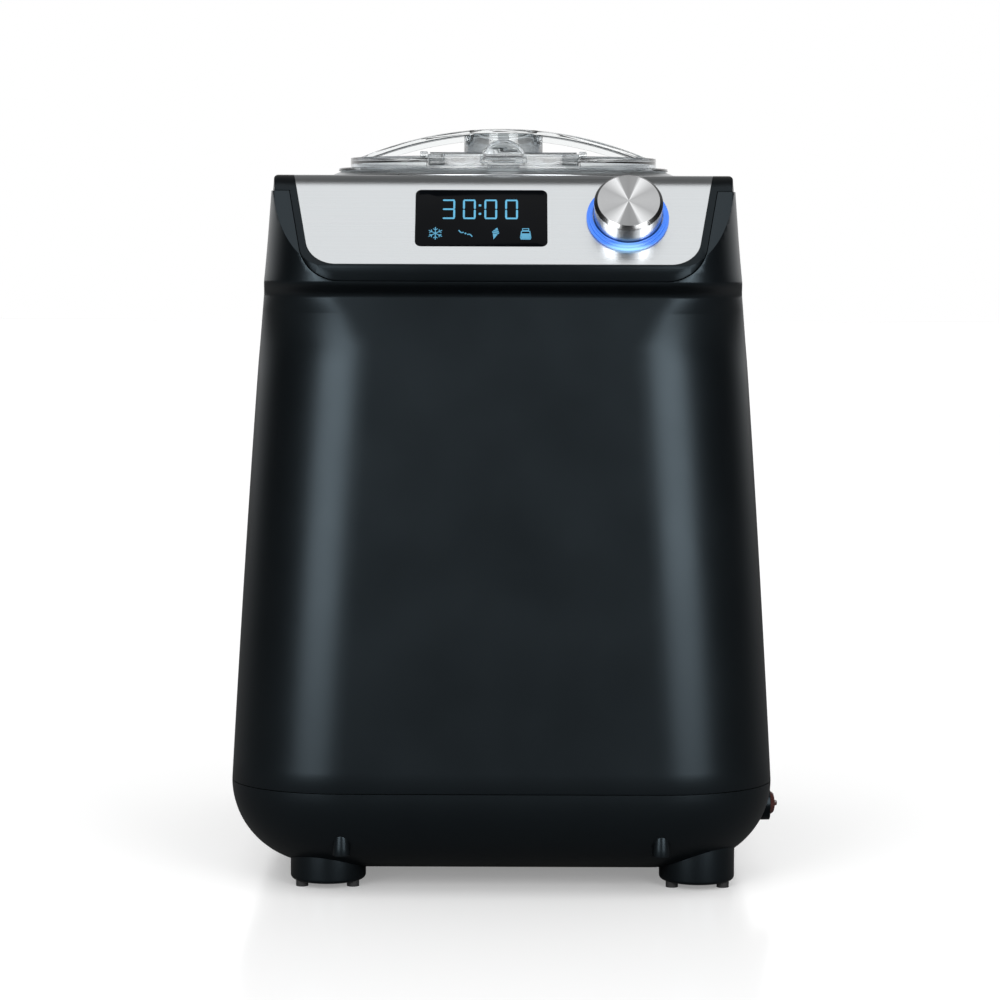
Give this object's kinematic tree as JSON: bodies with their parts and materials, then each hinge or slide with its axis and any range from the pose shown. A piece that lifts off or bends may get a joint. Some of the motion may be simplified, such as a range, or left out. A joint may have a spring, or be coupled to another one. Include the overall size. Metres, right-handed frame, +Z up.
{
  "type": "ice cream maker",
  "caption": "Compressor ice cream maker with a tapered body, inclined control panel, dial, removable bowl with paddle, and a clear lid with an arched handle.",
  "frame": {"origin": "on the table, under the middle of the body, front to back and side to side", "axes": "+X to the user's right, -Y the front with the control panel, +Z up"},
  "size_m": [0.2778, 0.3124, 0.3818],
  "materials": {
    "body_plastic": "satin",
    "frame_plastic": "gloss",
    "black_rubber": "matte",
    "panel_steel": "satin",
    "bright_steel": "polished",
    "spun_aluminium": "satin",
    "bowl_aluminium": "satin",
    "window_gloss": "gloss",
    "light_blue": "gloss",
    "clear_lid": "gloss",
    "clear_seal": "satin",
    "board_green": "satin",
    "tube_copper": "satin",
    "foam": "matte",
    "black_enamel": "satin",
    "motor_steel": "satin",
    "pump_iron": "matte",
    "gear_plastic": "satin",
    "gear_brass": "satin",
    "grey_plastic": "satin",
    "white_plastic": "satin",
    "rocker_plastic": "gloss"
  },
  "bodies": {
    "housing": {"base_pan": "body_plastic", "feet": "body_plastic", "foot_pads": "black_rubber", "base_screws": "bright_steel", "body_shell": "body_plastic", "rear_panel": "body_plastic", "rear_screws": "bright_steel", "cord_gland": "black_rubber", "top_frame": "frame_plastic", "steel_panel": "panel_steel", "deck_ring": "panel_steel", "display_window": "window_gloss", "control_board": "board_green", "light_ring": "light_blue", "encoder": "motor_steel", "power_board": "board_green", "evaporator_pot": "bowl_aluminium", "evaporator_coil": "tube_copper", "insulation": "foam", "drive_plate": "bright_steel", "gear_housing": "grey_plastic", "mixing_motor": "motor_steel", "shaft_bush": "gear_brass", "shaft_seal": "black_rubber", "compressor_shell": "black_enamel", "compressor_pump": "pump_iron", "compressor_bracket": "black_enamel", "compressor_mounts": "black_rubber", "compressor_bolts": "bright_steel", "terminal_cover": "grey_plastic", "discharge_pipe": "tube_copper", "suction_pipe": "tube_copper", "capillary": "tube_copper", "filter_drier": "tube_copper", "liquid_pipe": "tube_copper", "condenser_fins": "bowl_aluminium", "condenser_tube": "tube_copper", "fan_frame": "grey_plastic", "fan_motor": "grey_plastic", "switch_bezel": "frame_plastic"},
    "push_stem": {"encoder_plunger": "white_plastic"},
    "dial": {"knob": "spun_aluminium", "knob_shaft": "bright_steel"},
    "bowl": {"container": "bowl_aluminium"},
    "mixer": {"paddle": "white_plastic"},
    "cover": {"lid": "clear_lid", "lid_seal": "clear_seal", "flap_pin": "bright_steel"},
    "flap": {"refill_flap": "clear_lid"},
    "drive": {"drive_shaft": "bright_steel", "drive_gear": "gear_plastic"},
    "motor_rotor": {"motor_shaft": "bright_steel", "motor_pinion": "gear_brass"},
    "fan_rotor": {"fan_blades": "grey_plastic"},
    "rocker": {"switch_rocker": "rocker_plastic"}
  },
  "joints": [
    {"name": "knob_press", "type": "slide", "parent": "housing", "child": "push_stem", "axis": [0, 0.7986, -0.6018], "range_m": [0, 0.0012], "stiffness_N_per_m": 900, "springref_m": -0.0012},
    {"name": "knob_turn", "type": "hinge", "parent": "push_stem", "child": "dial", "pos_m": [0.0609, -0.13601, 0.33506], "axis": [0, -0.7986, 0.6018], "continuous": true},
    {"name": "bowl_lift", "type": "slide", "parent": "housing", "child": "bowl", "axis": [0, 0, 1], "range_m": [0, 0.16]},
    {"name": "lid_lift", "type": "slide", "parent": "bowl", "child": "cover", "axis": [0, 0, 1], "range_m": [0, 0.08]},
    {"name": "flap_hinge", "type": "hinge", "parent": "cover", "child": "flap", "pos_m": [0, -0.0422, 0.3671], "axis": [-1, 0, 0], "range_deg": [0, 95]},
    {"name": "shaft_spin", "type": "hinge", "parent": "housing", "child": "drive", "pos_m": [0, -0.017, 0.17], "axis": [0, 0, 1], "continuous": true},
    {"name": "paddle_spin", "type": "hinge", "parent": "bowl", "child": "mixer", "pos_m": [0, -0.017, 0.21], "axis": [0, 0, 1], "continuous": true},
    {"name": "motor_spin", "type": "hinge", "parent": "housing", "child": "motor_rotor", "pos_m": [0, -0.0531, 0.17], "axis": [0, 0, 1], "continuous": true},
    {"name": "fan_spin", "type": "hinge", "parent": "housing", "child": "fan_rotor", "pos_m": [0.066, 0.09, 0.074], "axis": [0, 1, 0], "continuous": true},
    {"name": "rocker_tilt", "type": "hinge", "parent": "housing", "child": "rocker", "pos_m": [0.1346, -0.09, 0.037], "axis": [0, 1, 0], "range_deg": [0, 16]}
  ],
  "couplings": [
    {"joint": "paddle_spin", "follows": "shaft_spin", "ratio": 1},
    {"joint": "motor_spin", "follows": "shaft_spin", "ratio": -5}
  ]
}
